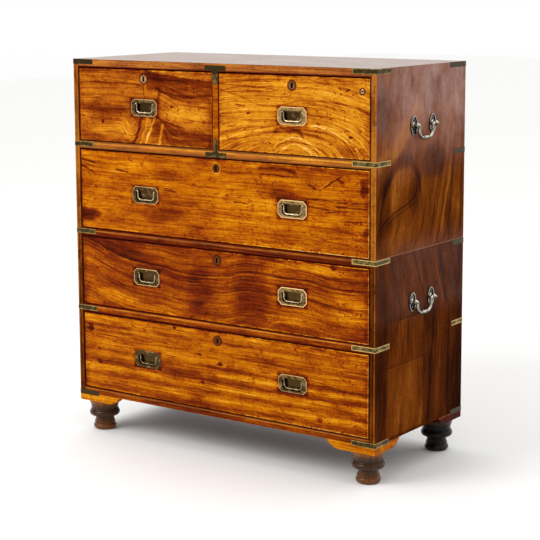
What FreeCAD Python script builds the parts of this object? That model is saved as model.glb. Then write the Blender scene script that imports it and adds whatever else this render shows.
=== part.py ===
import FreeCAD, Part
import math
import os

# Campaign chest of drawers in two stacked sections, on four turned feet.
# Millimetres. +Z is up, the drawers face -Y, and the origin is on the floor
# under the middle of the case.

V = FreeCAD.Vector
X_AXIS = V(1, 0, 0)
Y_AXIS = V(0, 1, 0)
Z_AXIS = V(0, 0, 1)
TOUCH = 0.001                   # how close counts as the same place

# ---------------------------------------------------------------- sizes ----
# Carcass
case_width = 990.0
case_depth = 452.0
side_thickness = 17.0
top_thickness = 21.0
joint_board_thickness = 19.5    # closes the lower section, shows as its upper rail
base_board_thickness = 18.0
deck_thickness = 15.0           # bottom of the upper section, behind its drawer front
rail_thickness = 20.5
rail_depth = 60.0
divider_thickness = 17.0
runner_width = 45.0
middle_runner_width = 80.0
dust_panel_thickness = 7.0
groove_depth = 6.0
housing_depth = 8.0             # boards let into the sides
housing_stop = 12.0             # the housing stops short of the front edge
divider_tongue = 5.0
back_thickness = 12.0
back_rebate = 10.0
back_board_count = 3
back_lap = 6.0
section_gap = 0.3               # hairline between the stacked sections

# Drawers
short_front_height = 202.0
upper_front_height = 222.0
middle_front_height = 194.5
bottom_front_height = 217.5
front_thickness = 22.0
front_recess = 0.5
front_bevel = 1.5               # arrises of a drawer front
gap_above = 3.0
gap_below = 1.5
gap_beside = 2.0
running_gap = 0.4               # drawer sides over their runners
side_drop = 3.0                 # drawer sides stop below the top of the front
drawer_side_thickness = 12.0
drawer_back_thickness = 12.0
drawer_bottom_thickness = 8.0
drawer_bottom_height = 10.0     # groove above the lower edge of the sides
drawer_groove = 5.0
drawer_back_gap = 4.0
front_lap = 6.0                 # wood left in front of the lapped dovetails
tail_pitch = 46.0
tail_slope = 7.0
pin_width = 8.0
stop_block = V(40.0, 20.0, 6.0)
stop_gap = 0.5

# Flush handles
plate_width = 90.0
plate_height = 47.0
plate_clip = 10.5
plate_thickness = 3.0
plate_proud = 0.6
plate_bevel = 0.45
short_handle_drop = 2.0         # handles sit this far below the middle of the front
upper_handle_drop = 4.0
seat_half_width = 32.0
seat_top = 14.0
seat_bottom = -17.5
seat_depth = 5.6
seat_corner = 12.0
well_half_width = 24.0
well_top = 10.0
well_bottom = -9.5
well_depth = 9.5
pan_wall = 1.5
pan_pivot_wall = 3.5
flush_rod = 2.0
flush_pivot_height = 10.5
flush_pivot_depth = 3.0
flush_half_width = 27.5
flush_drop = 24.0
flush_bend = 3.2
flush_corner = 11.0
pivot_clearance = 0.06
pin_end_gap = 0.4

# Locks and escutcheons
key_height = 25.0               # keyhole centre below the top of the front
keyhole_width = 5.2
keyhole_length = 14.0
escutcheon_radius = 12.5
escutcheon_thickness = 2.0
lock_case_width = 48.0
lock_plate_width = 64.0
lock_plate_thickness = 2.0
lock_case_depth = 11.0
lock_below_key = 17.0
lock_plate_margin = 4.0
key_cavity_depth = 7.0
bolt_width = 20.0
bolt_thickness = 5.0
bolt_height = 20.0
bolt_travel = 8.0
bolt_clearance = 0.3
bolt_rest = 0.5                 # bolt sits this far below the edge of the front
strike_clearance = 1.5

# Brass straps and T plates, let into the wood
brass_thickness = 1.6
brass_proud = 0.6
strap_height = 13.5
strap_front_leg = 70.0
strap_side_leg = 68.0
strap_back_leg = 60.0
top_strap_back_leg = 85.0
top_strap_drop = 7.25           # middle of the top straps below the top
joint_strap_drop = 8.0
rail_strap_rise = 1.5
base_strap_rise = 2.5
tee_bar_height = 13.0
tee_bar_half = 34.0
tee_bar_drop = 12.0             # middle of the upper bar below the top
upper_stem_half = 8.3
upper_stem_reach = 37.5
upper_stem_point = 8.3
lower_stem_half = 6.2
lower_stem_reach = 38.5
lower_stem_point = 12.0
tee_fillet = 6.0
round_arch = 0.707              # how full the curve of a stem's end is
pointed_arch = 0.62

# Carrying handles
carry_height_upper = 323.0      # pivot above the foot of each section
carry_height_lower = 346.0
post_spacing = 95.0
post_standoff = 10.5
rosette_half_height = 25.0
rosette_half_width = 16.0
rosette_plate = 2.2
rosette_rim = 4.0
rosette_rim_width = 3.2
post_radius = 6.9
post_waist = 6.0
post_foot = 8.6
post_hole_depth = 5.0
post_tip = 22.0
carry_rod = 4.2
carry_half_width = 35.2
carry_drop = 33.0
carry_bend = 5.2
carry_corner = 21.0
grip_half_length = 13.0
grip_radius = 5.2
grip_collar = 5.5
grip_collar_width = 2.0

# Feet and corner brackets
foot_height = 88.0
foot_inset = 48.0
bracket_height = 22.0
bracket_front_length = 145.0
bracket_side_length = 122.0
bracket_facing = 20.0
bracket_sweep = 40.0            # run of the quarter-round end
corner_block = 62.0
spigot_radius = 14.0
spigot_length = 18.0
spigot_clearance = 0.4
foot_gap = 0.3

# Pegs between the sections
peg_radius = 6.0
peg_rise = 9.0
peg_depth = 11.0
peg_clearance = 0.4
peg_inset_x = 60.0
peg_inset_y = 70.0

# --------------------------------------------------------------- levels ----
half_width = case_width / 2
half_depth = case_depth / 2
front_y = -half_depth
back_y = half_depth
inner_x = half_width - side_thickness
inner_back_y = back_y - back_thickness

base_z = foot_height + bracket_height
bottom_floor = base_z + base_board_thickness
lower_rail_z = bottom_floor + gap_below + bottom_front_height + gap_above
middle_floor = lower_rail_z + rail_thickness
joint_board_z = middle_floor + gap_below + middle_front_height + gap_above
lower_top_z = joint_board_z + joint_board_thickness

upper_z = lower_top_z + section_gap
upper_rail_z = upper_z + gap_below + upper_front_height + gap_above
short_floor = upper_rail_z + rail_thickness
top_board_z = short_floor + gap_below + short_front_height + gap_above
top_z = top_board_z + top_thickness

front_face_y = front_y + front_recess
front_back_y = front_face_y + front_thickness
bolt_y = front_back_y - lock_plate_thickness - bolt_thickness / 2 - 2 * bolt_clearance
strike_depth = bolt_travel - bolt_rest - gap_above + strike_clearance


# -------------------------------------------------------------- helpers ----
def block(x0, x1, y0, y1, z0, z1):
    """A squared piece of wood or metal between two corners."""
    return Part.makeBox(x1 - x0, y1 - y0, z1 - z0, V(x0, y0, z0))


def upright(solid):
    """The solid with its faces pointing outwards."""
    if solid.Volume < 0:
        solid.reverse()
    return solid


def prism(points, sweep):
    """A solid from a flat outline of points."""
    return upright(Part.Face(Part.makePolygon(points + [points[0]])).extrude(sweep))


def bent_edge(start, end, bulge, side):
    """A line, or an arc that stands out by bulge towards side."""
    if bulge == 0:
        return Part.LineSegment(start, end).toShape()
    return Part.Arc(start, (start + end) / 2 + side * bulge, end).toShape()


def turned(outline):
    """A lathe-turned solid about Z from (radius, height, bulge) points, top to bottom."""
    edges = []
    for (r0, z0, _), (r1, z1, bulge) in zip(outline, outline[1:]):
        start = V(r0, 0, z0)
        end = V(r1, 0, z1)
        along = end - start
        side = V(-along.z, 0, along.x)
        side.normalize()
        edges.append(bent_edge(start, end, bulge, side))
    edges.append(Part.LineSegment(V(outline[-1][0], 0, outline[-1][1]),
                                  V(outline[0][0], 0, outline[0][1])).toShape())
    return upright(Part.Face(Part.Wire(edges)).revolve(V(0, 0, 0), Z_AXIS, 360))


def moved(shape, offset):
    copy = shape.copy()
    copy.translate(offset)
    return copy


def mirrored_x(shape):
    return shape.mirror(V(0, 0, 0), X_AXIS)


def mirrored_y(shape):
    return shape.mirror(V(0, 0, 0), Y_AXIS)


def joined(shapes):
    """One solid from pieces that share faces or overlap."""
    return shapes[0].fuse(shapes[1:]).removeSplitter() if len(shapes) > 1 else shapes[0]


def less(shape, cutters):
    """The shape without what the cutters take away."""
    return shape.cut(Part.makeCompound(cutters)) if cutters else shape


def slot(x, z, y0, y1, width, length):
    """An upright slot with round ends, cut along Y."""
    r = width / 2
    reach = length / 2 - r
    bars = [Part.makeCylinder(r, y1 - y0, V(x, y0, z + end), Y_AXIS) for end in (-reach, reach)]
    return joined([block(x - r, x + r, y0, y1, z - reach, z + reach)] + bars)


nodes = {}


def keep(name, pieces):
    """A named part of the chest: one solid, or a group of separate ones."""
    solids = [solid for piece in pieces for solid in piece.Solids]
    nodes[name] = solids[0] if len(solids) == 1 else Part.makeCompound(solids)


# ------------------------------------------------------------ brasswork ----
def corner_strap(z, front_leg, side_leg):
    """An L-shaped strap round the right front corner, let in and a little proud."""
    low = z - strap_height / 2
    high = z + strap_height / 2
    outer_x = half_width + brass_proud
    outer_y = front_y - brass_proud
    front = block(half_width - front_leg, outer_x, outer_y, outer_y + brass_thickness, low, high)
    side = block(outer_x - brass_thickness, outer_x, outer_y, front_y + side_leg, low, high)
    return joined([front, side])


def four_straps(z, back_leg):
    """The straps round all four corners at one level."""
    front = corner_strap(z, strap_front_leg, strap_side_leg)
    back = mirrored_y(corner_strap(z, back_leg, back_leg))
    return [front, mirrored_x(front), back, mirrored_x(back)]


def tee_plate(stem_half, reach, point, arch):
    """A T plate on the front face, about the middle of its bar: the stem hangs to an arched end."""
    y0 = front_y - brass_proud
    y1 = y0 + brass_thickness
    bar_low = -tee_bar_height / 2
    bar = block(-tee_bar_half, tee_bar_half, y0, y1, bar_low, tee_bar_height / 2)
    shoulder = bar_low - reach + point
    corners = [V(stem_half, y0, shoulder), V(stem_half, y0, 0),
               V(-stem_half, y0, 0), V(-stem_half, y0, shoulder)]
    edges = [Part.LineSegment(a, b).toShape() for a, b in zip(corners, corners[1:])]
    tip = V(0, y0, shoulder - point)
    left_bend = V(-arch * stem_half, y0, shoulder - arch * point)
    right_bend = V(arch * stem_half, y0, shoulder - arch * point)
    edges.append(Part.Arc(corners[-1], left_bend, tip).toShape())
    edges.append(Part.Arc(tip, right_bend, corners[0]).toShape())
    stem = upright(Part.Face(Part.Wire(edges)).extrude(V(0, brass_thickness, 0)))
    tee = joined([bar, stem])
    roots = [edge for edge in tee.Edges
             if abs(abs(edge.CenterOfMass.x) - stem_half) < TOUCH
             and abs(edge.CenterOfMass.z - bar_low) < TOUCH]
    return tee.makeFillet(min(tee_fillet, (tee_bar_half - stem_half) / 2), roots)


upper_tee = moved(tee_plate(upper_stem_half, upper_stem_reach, upper_stem_point, round_arch),
                  V(0, 0, top_z - tee_bar_drop))
# The lower T stands on the rail, its stem up the divider to a pointed end.
lower_tee = tee_plate(lower_stem_half, lower_stem_reach, lower_stem_point, pointed_arch)
lower_tee = moved(lower_tee.mirror(V(0, 0, 0), Z_AXIS),
                  V(0, 0, upper_rail_z + tee_bar_height / 2 + brass_proud))

upper_straps = (four_straps(top_z - top_strap_drop, top_strap_back_leg)
                + four_straps(upper_rail_z + rail_thickness / 2 + rail_strap_rise, strap_back_leg)
                + [upper_tee, lower_tee])
lower_straps = (four_straps(lower_top_z - joint_strap_drop, strap_back_leg)
                + four_straps(lower_rail_z + rail_thickness / 2, strap_back_leg)
                + four_straps(base_z + base_strap_rise, strap_back_leg))
keep("upper_brass_straps", upper_straps)
keep("lower_brass_straps", lower_straps)


# --------------------------------------------------------------- boards ----
def shelf(z0, z1, y0):
    """A board across the case, its ends let into the sides behind the front edge."""
    tongue_y = max(y0, front_y + housing_stop)
    middle = block(-inner_x, inner_x, y0, inner_back_y, z0, z1)
    tongues = block(-inner_x - housing_depth, inner_x + housing_depth, tongue_y, inner_back_y, z0, z1)
    return joined([middle, tongues])


def housing(z0, z1, y0):
    """What a shelf takes out of the right-hand side."""
    return block(inner_x, inner_x + housing_depth, y0, inner_back_y, z0, z1)


def back_space(z0, z1):
    reach = inner_x + back_rebate
    return block(-reach, reach, inner_back_y, back_y, z0, z1)


def back_boards(z0, z1, straps):
    """Level boards with lapped edges, nailed into the rebates of the case."""
    height = (z1 - z0) / back_board_count
    reach = inner_x + back_rebate
    middle_y = inner_back_y + back_thickness / 2
    boards = []
    for i in range(back_board_count):
        low = z0 + i * height
        board = block(-reach, reach, inner_back_y, back_y, low, low + height)
        if i > 0:
            board = board.cut(block(-reach, reach, middle_y, back_y, low, low + back_lap))
        if i < back_board_count - 1:
            lip = block(-reach, reach, middle_y, back_y, low + height, low + height + back_lap)
            board = joined([board, lip])
        boards.append(less(board, straps))
    return boards


def strike(x, z):
    """The mortise that a lock bolt rises into, in the board above a drawer."""
    half = bolt_width / 2 + strike_clearance
    reach = bolt_thickness / 2 + strike_clearance
    return block(x - half, x + half, bolt_y - reach, bolt_y + reach, z, z + strike_depth)


def stop(x, z):
    """A glued block that stops a drawer front."""
    y0 = front_back_y + stop_gap
    return block(x - stop_block.x / 2, x + stop_block.x / 2, y0, y0 + stop_block.y, z, z + stop_block.z)


short_centre = (inner_x + divider_thickness / 2) / 2
housing_y = front_y + housing_stop
deck_y = front_back_y + stop_gap

# Upper section: two sides mitred to the top, a deck, a rail with its runners, a divider.
upper_side = block(inner_x, half_width, front_y, back_y, upper_z, top_z)
mitre = prism([V(inner_x, front_y, top_board_z), V(half_width, front_y, top_z),
               V(inner_x, front_y, top_z)], V(0, case_depth, 0))
upper_side = less(upper_side, [mitre, housing(upper_z, upper_z + deck_thickness, deck_y),
                               housing(upper_rail_z, short_floor, housing_y),
                               back_space(upper_z, top_board_z + back_rebate)] + upper_straps)
keep("upper_right_side", [upper_side])
keep("upper_left_side", [mirrored_x(upper_side)])

top_board = prism([V(-half_width, front_y, top_z), V(half_width, front_y, top_z),
                   V(inner_x, front_y, top_board_z), V(-inner_x, front_y, top_board_z)],
                  V(0, case_depth, 0))
divider_slot = block(-divider_thickness / 2, divider_thickness / 2, housing_y, inner_back_y,
                     upper_rail_z + rail_thickness - divider_tongue, top_board_z + divider_tongue)
top_board = less(top_board, [back_space(upper_z, top_board_z + back_rebate), divider_slot,
                             strike(-short_centre, top_board_z), strike(short_centre, top_board_z)]
                 + upper_straps)
keep("top_board", [top_board])

divider = block(-divider_thickness / 2, divider_thickness / 2, front_y, inner_back_y,
                short_floor, top_board_z)
keep("short_drawer_divider", [less(joined([divider, divider_slot]), upper_straps)])

peg_places = [(sx * (inner_x - peg_inset_x), sy * (half_depth - peg_inset_y))
              for sx in (-1, 1) for sy in (-1, 1)]
peg_holes = [Part.makeCylinder(peg_radius + peg_clearance, peg_rise + section_gap,
                               V(x, y, lower_top_z)) for x, y in peg_places]
keep("upper_deck", [less(shelf(upper_z, upper_z + deck_thickness, deck_y), peg_holes)])
keep("upper_back", back_boards(upper_z, top_board_z + back_rebate, upper_straps))


def rail_frame(z, middle_runner, cutters, stops):
    """A front rail, the runners behind it and the dust panels grooved between them."""
    rail_back = front_y + rail_depth
    top = z + rail_thickness
    rail = shelf(z, top, front_y).common(
        block(-half_width, half_width, front_y, rail_back, z, top))
    runner = block(inner_x - runner_width, inner_x + housing_depth, rail_back, inner_back_y, z, top)
    pieces = [runner, mirrored_x(runner)]
    panel_low = z + (rail_thickness - dust_panel_thickness) / 2
    start = middle_runner / 2 - groove_depth if middle_runner else 0
    panel = block(start, inner_x - runner_width + groove_depth, rail_back - groove_depth,
                  inner_back_y, panel_low, panel_low + dust_panel_thickness)
    if middle_runner:
        pieces.append(block(-middle_runner / 2, middle_runner / 2, rail_back, inner_back_y, z, top))
        panels = [panel, mirrored_x(panel)]
    else:
        panels = [joined([panel, mirrored_x(panel)])]
    wood = [less(piece, panels + cutters) for piece in [rail] + pieces]
    return wood + panels + [stop(x, top) for x in stops]


long_stop = half_width / 2
keep("upper_drawer_rail", rail_frame(upper_rail_z, middle_runner_width,
                                     [divider_slot, strike(0, upper_rail_z)] + upper_straps,
                                     [-short_centre, short_centre]))

# Lower section: two sides, a joint board, a rail with its runners and a base board.
lower_side = block(inner_x, half_width, front_y, back_y, base_z, lower_top_z)
lower_side = less(lower_side, [housing(base_z, bottom_floor, housing_y),
                               housing(lower_rail_z, middle_floor, housing_y),
                               housing(joint_board_z, lower_top_z, housing_y),
                               back_space(base_z, lower_top_z)] + lower_straps)
keep("lower_right_side", [lower_side])
keep("lower_left_side", [mirrored_x(lower_side)])

pegs = []
for x, y in peg_places:
    tip = peg_radius / 3
    peg = turned([(0, peg_rise, 0), (peg_radius - tip, peg_rise, 0), (peg_radius, peg_rise - tip, 0),
                  (peg_radius, -peg_depth, 0), (0, -peg_depth, 0)])
    pegs.append(moved(peg, V(x, y, lower_top_z)))
keep("locating_pegs", pegs)
keep("joint_board", [less(shelf(joint_board_z, lower_top_z, front_y),
                          pegs + [strike(0, joint_board_z)] + lower_straps)])
base_board = less(shelf(base_z, bottom_floor, front_y), lower_straps)
keep("base_board", [base_board, stop(-long_stop, bottom_floor), stop(long_stop, bottom_floor)])
keep("lower_back", back_boards(base_z, lower_top_z, lower_straps))
keep("lower_drawer_rail", rail_frame(lower_rail_z, 0, [strike(0, lower_rail_z)] + lower_straps,
                                     [-long_stop, long_stop]))


# ------------------------------------------------------ brackets and feet ----
def facing(place, length, sweep):
    """A facing under the case edge, from the corner outwards; its free end sweeps up in one arc."""
    rise = base_z - bracket_height
    corners = [place(0, base_z), place(length, base_z)]
    radius = (bracket_sweep ** 2 + bracket_height ** 2) / (2 * bracket_height)
    half_turn = math.atan2(bracket_sweep, radius - bracket_height) / 2
    bend = place(length - bracket_sweep + radius * math.sin(half_turn),
                 rise + radius * (1 - math.cos(half_turn)))
    toe = place(length - bracket_sweep, rise)
    edges = [Part.LineSegment(corners[0], corners[1]).toShape(),
             Part.Arc(corners[1], bend, toe).toShape(),
             Part.LineSegment(toe, place(0, rise)).toShape(),
             Part.LineSegment(place(0, rise), corners[0]).toShape()]
    return upright(Part.Face(Part.Wire(edges)).extrude(sweep))


def corner_bracket(cutters):
    """Two facings mitred at the right front corner and the block that holds the foot."""
    corner = V(half_width, front_y, foot_height)
    inner = corner + V(-bracket_facing, bracket_facing, 0)
    up = V(0, 0, bracket_height)
    side_half = prism([corner, corner + V(0, bracket_facing, 0), inner], up)
    front_half = prism([corner, corner + V(-bracket_facing, 0, 0), inner], up)
    front = facing(lambda a, z: V(half_width - a, front_y, z), bracket_front_length,
                   V(0, bracket_facing, 0))
    side = facing(lambda a, z: V(half_width, front_y + a, z), bracket_side_length,
                  V(-bracket_facing, 0, 0))
    pad = block(inner.x - corner_block, inner.x, inner.y, inner.y + corner_block, foot_height, base_z)
    hole = Part.makeCylinder(spigot_radius + spigot_clearance, spigot_length + spigot_clearance,
                             V(half_width - foot_inset, front_y + foot_inset, foot_height))
    return [less(front, [side_half] + cutters), less(side, [front_half] + cutters),
            less(pad, [hole])]


right_front = corner_bracket([corner_strap(base_z + base_strap_rise, strap_front_leg, strap_side_leg)])
right_back = corner_bracket([corner_strap(base_z + base_strap_rise, strap_back_leg, strap_back_leg)])
right_brackets = right_front + [mirrored_y(piece) for piece in right_back]
keep("corner_brackets", right_brackets + [mirrored_x(piece) for piece in right_brackets])

# Each foot is one turning: spigot, cone, ringed bead, waist, small ring and bottom bead.
foot_top = foot_height - foot_gap
foot_outline = [(0, foot_top + spigot_length, 0), (spigot_radius, foot_top + spigot_length, 0),
                (spigot_radius, foot_top, 0), (46.0, foot_top, 0), (37.5, 61.0, -1.0),
                (37.5, 60.0, 0), (40.2, 57.6, 0.9), (39.4, 56.4, 0),
                (34.5, 39.5, 6.2), (26.8, 30.0, -2.2), (28.0, 23.0, 0), (28.0, 18.6, 1.9),
                (28.6, 16.6, 0), (23.0, 0, 6.8), (0, 0, 0)]
foot = turned(foot_outline)
for y_name, y in (("front", front_y + foot_inset), ("back", back_y - foot_inset)):
    for x_name, x in (("left", foot_inset - half_width), ("right", half_width - foot_inset)):
        keep(y_name + "_" + x_name + "_foot", [moved(foot, V(x, y, 0))])


# ------------------------------------------------------ carrying handles ----
def bail_path(pin_half, half_run, drop, bend, corner):
    """The centre line of a bail in the XZ plane, from pin end to pin end, hanging down."""
    def quarter(start, centre, end):
        out = (start - centre) + (end - centre)
        out.normalize()
        return Part.Arc(start, centre + out * (start - centre).Length, end).toShape()

    left = [V(-pin_half, 0, 0), V(-half_run - bend, 0, 0), V(-half_run, 0, -bend),
            V(-half_run, 0, corner - drop), V(corner - half_run, 0, -drop)]
    right = [V(-p.x, 0, p.z) for p in reversed(left)]
    bend_centre = V(-half_run - bend, 0, -bend)
    corner_centre = V(corner - half_run, 0, corner - drop)
    edges = [Part.LineSegment(left[0], left[1]).toShape(),
             quarter(left[1], bend_centre, left[2]),
             Part.LineSegment(left[2], left[3]).toShape(),
             quarter(left[3], corner_centre, left[4]),
             Part.LineSegment(left[4], right[0]).toShape(),
             quarter(right[0], V(-corner_centre.x, 0, corner_centre.z), right[1]),
             Part.LineSegment(right[1], right[2]).toShape(),
             quarter(right[2], V(-bend_centre.x, 0, bend_centre.z), right[3]),
             Part.LineSegment(right[3], right[4]).toShape()]
    return Part.Wire(edges)


def bail(rod, pin_half, half_run, drop, bend, corner):
    """A round rod bent into a bail."""
    path = bail_path(pin_half, half_run, drop, bend, corner)
    ring = Part.Wire(Part.makeCircle(rod, V(-pin_half, 0, 0), X_AXIS))
    return upright(path.makePipeShell([ring], True, True))


def rosette():
    """An oval plate with a raised rim and a pointed post, standing on the XY plane."""
    plate = Part.Face(Part.Wire(Part.Ellipse(V(0, 0, 0), rosette_half_height,
                                             rosette_half_width).toShape()))
    hollow = Part.Face(Part.Wire(Part.Ellipse(V(0, 0, 0), rosette_half_height - rosette_rim_width,
                                              rosette_half_width - rosette_rim_width).toShape()))
    dish = moved(hollow.extrude(V(0, 0, rosette_rim)), V(0, 0, rosette_plate))
    body = upright(plate.extrude(V(0, 0, rosette_rim))).cut(dish)
    eye_low = post_standoff - 0.5 * post_radius
    eye_high = post_standoff + 0.5 * post_radius
    post = turned([(0, post_tip, 0), (1.0, post_tip - 0.6, 0), (post_radius, eye_high, 0.4),
                   (post_radius, eye_low, 0), (post_waist, eye_low - 1.6, 0),
                   (post_foot, rosette_plate, -0.5), (0, rosette_plate, 0)])
    return joined([body, post])


carry_pin_half = post_spacing / 2 + post_hole_depth - pin_end_gap
carry_rod_bail = bail(carry_rod, carry_pin_half, carry_half_width, carry_drop, carry_bend, carry_corner)
grip_end = grip_half_length - grip_collar_width
grip = turned([(0, grip_half_length, 0), (grip_collar, grip_half_length, 0), (grip_collar, grip_end, 0),
               (carry_rod + 0.4, grip_end, 0), (carry_rod + 0.4, -grip_end, grip_radius - carry_rod - 0.4),
               (grip_collar, -grip_end, 0), (grip_collar, -grip_half_length, 0),
               (0, -grip_half_length, 0)])
grip.rotate(V(0, 0, 0), Y_AXIS, 90)
carry_bail = joined([carry_rod_bail, moved(grip, V(0, 0, -carry_drop))])
carry_bail.rotate(V(0, 0, 0), Z_AXIS, 90)

post_hole = Part.makeCylinder(carry_rod + pivot_clearance, post_spacing + 2 * post_hole_depth,
                              V(0, -post_spacing / 2 - post_hole_depth, 0), Y_AXIS)
flat_rosette = rosette()
flat_rosette.rotate(V(0, 0, 0), Y_AXIS, 90)
for section, pivot_z in (("upper", upper_z + carry_height_upper), ("lower", base_z + carry_height_lower)):
    right_bail = moved(carry_bail, V(half_width + post_standoff, 0, pivot_z))
    keep(section + "_right_carrying_bail", [right_bail])
    keep(section + "_left_carrying_bail", [mirrored_x(right_bail)])
    hole = moved(post_hole, V(half_width + post_standoff, 0, pivot_z))
    rosettes = [less(moved(flat_rosette, V(half_width, y, pivot_z)), [hole])
                for y in (-post_spacing / 2, post_spacing / 2)]
    keep(section + "_handle_rosettes", rosettes + [mirrored_x(piece) for piece in rosettes])


# --------------------------------------------------------------- drawers ----
def tails(x0, x1, y_root, reach, z0, z1):
    """The dovetails at one end of a drawer side; reach is negative towards the front."""
    count = max(2, round((z1 - z0) / tail_pitch))
    pitch = (z1 - z0) / count
    tip = (pitch - pin_width) / 2
    root = tip - abs(reach) / tail_slope
    shapes = []
    for i in range(count):
        middle = z0 + (i + 0.5) * pitch
        outline = [V(x0, y_root, middle - root), V(x0, y_root + reach, middle - tip),
                   V(x0, y_root + reach, middle + tip), V(x0, y_root, middle + root)]
        shapes.append(prism(outline, V(x1 - x0, 0, 0)))
    return shapes


def rounded(half_wide, low, high, y0, y1, corner_radius):
    """A block across x = 0 with its two lower upright corners rounded."""
    solid = block(-half_wide, half_wide, y0, y1, low, high)
    lower = [edge for edge in solid.Edges
             if abs(edge.CenterOfMass.z - low) < TOUCH and abs(abs(edge.CenterOfMass.x) - half_wide) < TOUCH]
    return solid.makeFillet(corner_radius, lower)


def bevelled(solid, face_y, width):
    """The solid with a bevel along the edges of its face at that y."""
    edges = [edge for edge in solid.Edges
             if abs(edge.BoundBox.YMin - face_y) < TOUCH and abs(edge.BoundBox.YMax - face_y) < TOUCH]
    return solid.makeChamfer(width, edges)


def flush_plate():
    """A flush handle's casting about the plate's centre: first its outside, then the hollows."""
    face = front_face_y - plate_proud
    w = plate_width / 2
    h = plate_height / 2
    c = plate_clip
    outline = [(-w, -h + c), (-w + c, -h), (w - c, -h), (w, -h + c),
               (w, h - c), (w - c, h), (-w + c, h), (-w, h - c)]
    plate = prism([V(x, face, z) for x, z in outline], V(0, plate_thickness, 0))
    plate = bevelled(plate, face, plate_bevel)
    seat_pan = rounded(seat_half_width + pan_pivot_wall, seat_bottom - pan_wall, seat_top + pan_wall,
                       face, face + seat_depth + pan_wall, seat_corner + pan_wall)
    well_pan = block(-well_half_width - pan_wall, well_half_width + pan_wall, face,
                     face + well_depth + pan_wall, well_bottom - pan_wall, well_top + pan_wall)
    seat = rounded(seat_half_width, seat_bottom, seat_top, face, face + seat_depth, seat_corner)
    well = block(-well_half_width, well_half_width, face, face + well_depth, well_bottom, well_top)
    reach = seat_half_width + pan_pivot_wall - pan_wall / 2
    pivots = Part.makeCylinder(flush_rod + pivot_clearance, 2 * reach,
                               V(-reach, face + flush_pivot_depth, flush_pivot_height), X_AXIS)
    return joined([plate, seat_pan, well_pan]), [seat, well, pivots]


plate_outside, plate_hollows = flush_plate()
plate_casting = less(plate_outside, plate_hollows)
flush_pin_half = seat_half_width + pan_pivot_wall - pan_wall / 2 - pin_end_gap
flush_bail = bail(flush_rod, flush_pin_half, flush_half_width, flush_drop, flush_bend, flush_corner)
flush_bail = moved(flush_bail, V(0, front_face_y - plate_proud + flush_pivot_depth, flush_pivot_height))


def lock_parts(x, front_top):
    """A mortised drawer lock: its outside, its hollows and its bolt."""
    key_z = front_top - key_height
    case_y = front_back_y - lock_case_depth
    low = key_z - lock_below_key
    case = block(x - lock_case_width / 2, x + lock_case_width / 2, case_y, front_back_y, low, front_top)
    plate_half = lock_plate_width / 2
    plate_y = front_back_y - lock_plate_thickness
    back_plate = block(x - plate_half, x + plate_half, plate_y, front_back_y,
                       low - lock_plate_margin, front_top)
    top_plate = block(x - plate_half, x + plate_half, case_y, front_back_y,
                      front_top - lock_plate_thickness, front_top)
    bolt_top = front_top - bolt_rest
    half = bolt_width / 2
    bolt = block(x - half, x + half, bolt_y - bolt_thickness / 2, bolt_y + bolt_thickness / 2,
                 bolt_top - bolt_height, bolt_top)
    half += bolt_clearance
    reach = bolt_thickness / 2 + bolt_clearance
    bolt_way = block(x - half, x + half, bolt_y - reach, bolt_y + reach,
                     bolt_top - bolt_height - bolt_clearance, front_top)
    key_way = slot(x, key_z, case_y, case_y + key_cavity_depth, keyhole_width, keyhole_length)
    return joined([case, back_plate, top_plate]), [bolt_way, key_way], bolt


def make_drawer(name, x0, x1, side_floor, front_z, front_height, handle_places, handle_drop=0.0):
    """One drawer with its lock, flush handles and their bails."""
    front_top = front_z + front_height
    side_z = side_floor + running_gap
    side_top = front_top - side_drop
    end_y = inner_back_y - drawer_back_gap
    back_y0 = end_y - drawer_back_thickness
    bottom_z = side_z + drawer_bottom_height
    bottom_top = bottom_z + drawer_bottom_thickness
    thick = drawer_side_thickness
    tail_low = max(front_z, side_z)

    bottom = block(x0 + thick - drawer_groove, x1 - thick + drawer_groove,
                   front_back_y - drawer_groove, end_y, bottom_z, bottom_top)
    sides = []
    all_tails = []
    for low_x in (x0, x1 - thick):
        board = block(low_x, low_x + thick, front_back_y, back_y0, side_z, side_top)
        heel = block(low_x, low_x + thick, back_y0, end_y, side_z, bottom_top)
        ends = (tails(low_x, low_x + thick, front_back_y, front_lap - front_thickness,
                      tail_low, side_top)
                + tails(low_x, low_x + thick, back_y0, drawer_back_thickness, bottom_top, side_top))
        sides.append(less(joined([board, heel] + ends), [bottom]))
        all_tails += ends
    back = less(block(x0, x1, back_y0, end_y, bottom_top, side_top), all_tails)
    keep(name + "_drawer_box", sides + [back, bottom])

    x = (x0 + x1) / 2
    key_z = front_top - key_height
    lock_outside, lock_hollows, bolt = lock_parts(x, front_top)
    escutcheon = Part.makeCylinder(escutcheon_radius, escutcheon_thickness,
                                   V(x, front_face_y - plate_proud, key_z), Y_AXIS)
    keyhole = slot(x, key_z, front_face_y - plate_proud, front_back_y - lock_case_depth,
                   keyhole_width, keyhole_length)
    keep(name + "_drawer_lock", [less(lock_outside, lock_hollows), less(escutcheon, [keyhole])])
    keep(name + "_drawer_lock_bolt", [bolt])

    handle_z = front_z + front_height / 2 - handle_drop
    plates = [moved(plate_casting, V(hx, 0, handle_z)) for _, hx in handle_places]
    pockets = [moved(plate_outside, V(hx, 0, handle_z)) for _, hx in handle_places]
    keep(name + "_drawer_handle_plates", plates)
    for side_name, hx in handle_places:
        keep(name + "_drawer" + side_name + "_bail", [moved(flush_bail, V(hx, 0, handle_z))])

    front = bevelled(block(x0, x1, front_face_y, front_back_y, front_z, front_top),
                     front_face_y, front_bevel)
    keep(name + "_drawer_front", [less(front, all_tails + pockets
                                       + [bottom, lock_outside, escutcheon, keyhole])])


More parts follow.
